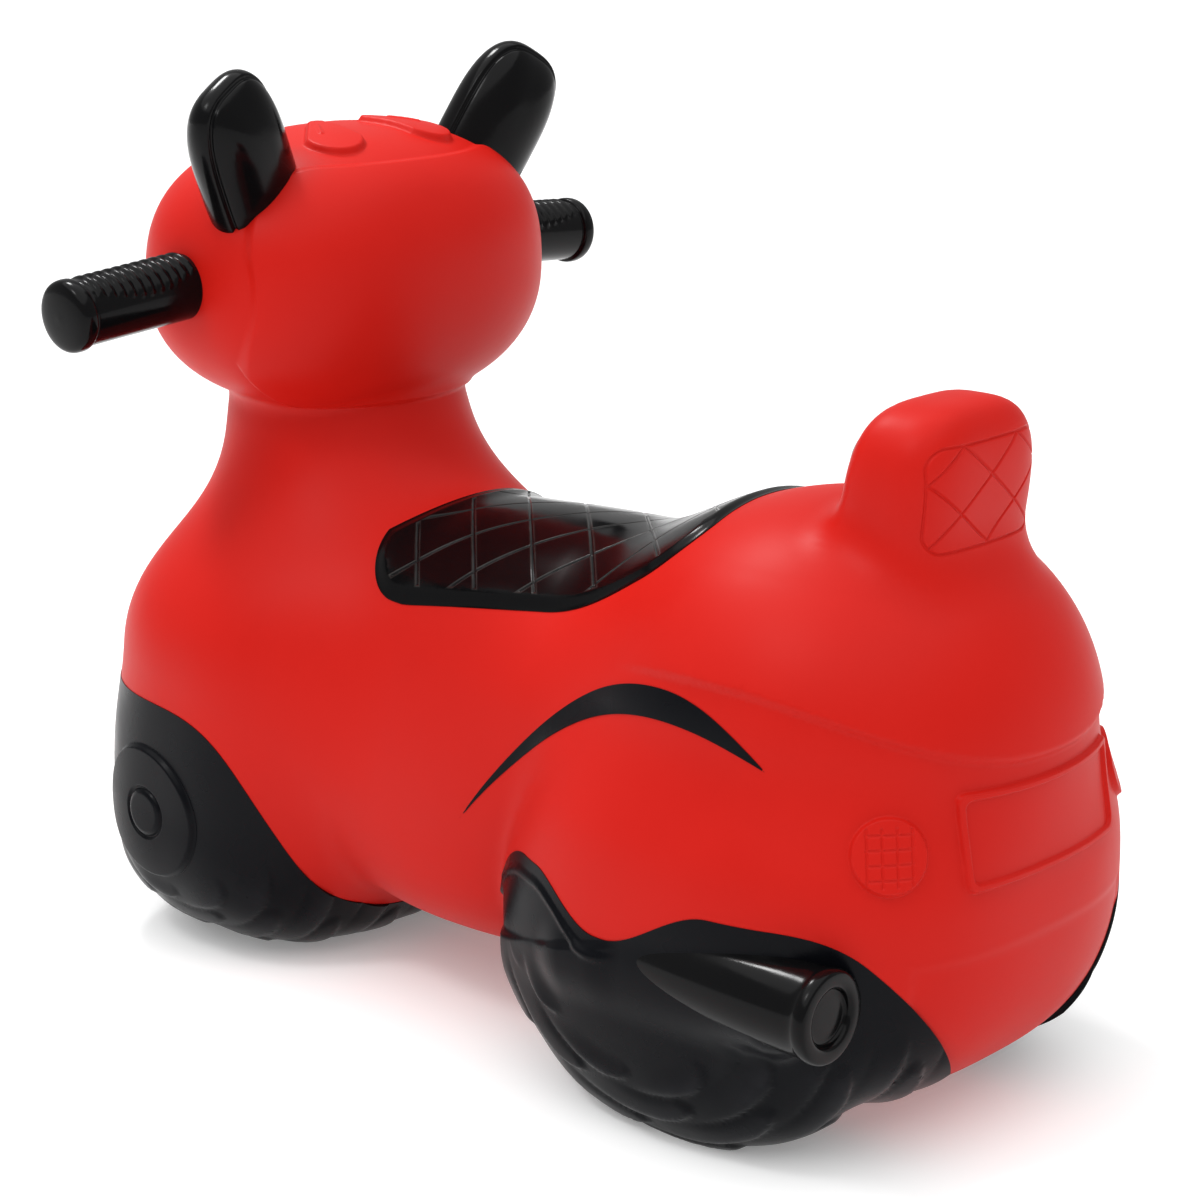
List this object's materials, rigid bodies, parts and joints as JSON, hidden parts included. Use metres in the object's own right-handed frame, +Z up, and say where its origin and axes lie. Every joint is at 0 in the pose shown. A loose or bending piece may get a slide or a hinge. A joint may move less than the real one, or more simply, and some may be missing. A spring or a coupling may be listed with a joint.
{
  "type": "inflatable scooter hopper",
  "caption": "Inflatable ride-on hopper shaped like a motor scooter: hollow PVC skin with saddle, backrest, handlebar grips, mirrors, moulded wheels and an air plug.",
  "frame": {"origin": "on the floor, under the middle of the toy's box", "axes": "+X forward, the way the rider faces, +Y to the rider's left, +Z up"},
  "size_m": [0.5444, 0.3614, 0.4524],
  "materials": {
    "red_pvc": "satin moulded PVC",
    "black_paint": "satin black paint on PVC",
    "white_pvc": "moulded soft PVC"
  },
  "bodies": {
    "skin": {"body_skin": "red_pvc", "saddle": "black_paint", "backrest_pad": "black_paint", "front_wheel": "black_paint", "rear_wheel_left": "black_paint", "rear_wheel_right": "black_paint", "fender_stripe_left": "black_paint", "fender_stripe_right": "black_paint", "front_hub_left": "black_paint", "front_hub_right": "black_paint", "exhaust": "black_paint", "grip_left": "black_paint", "grip_right": "black_paint", "mirror_left": "black_paint", "mirror_right": "black_paint"},
    "plug": {"valve_plug": "white_pvc"}
  },
  "joints": [
    {"name": "plug_pull", "type": "slide", "parent": "skin", "child": "plug", "axis": [0, 0, -1], "range_m": [0, 0.03]}
  ]
}
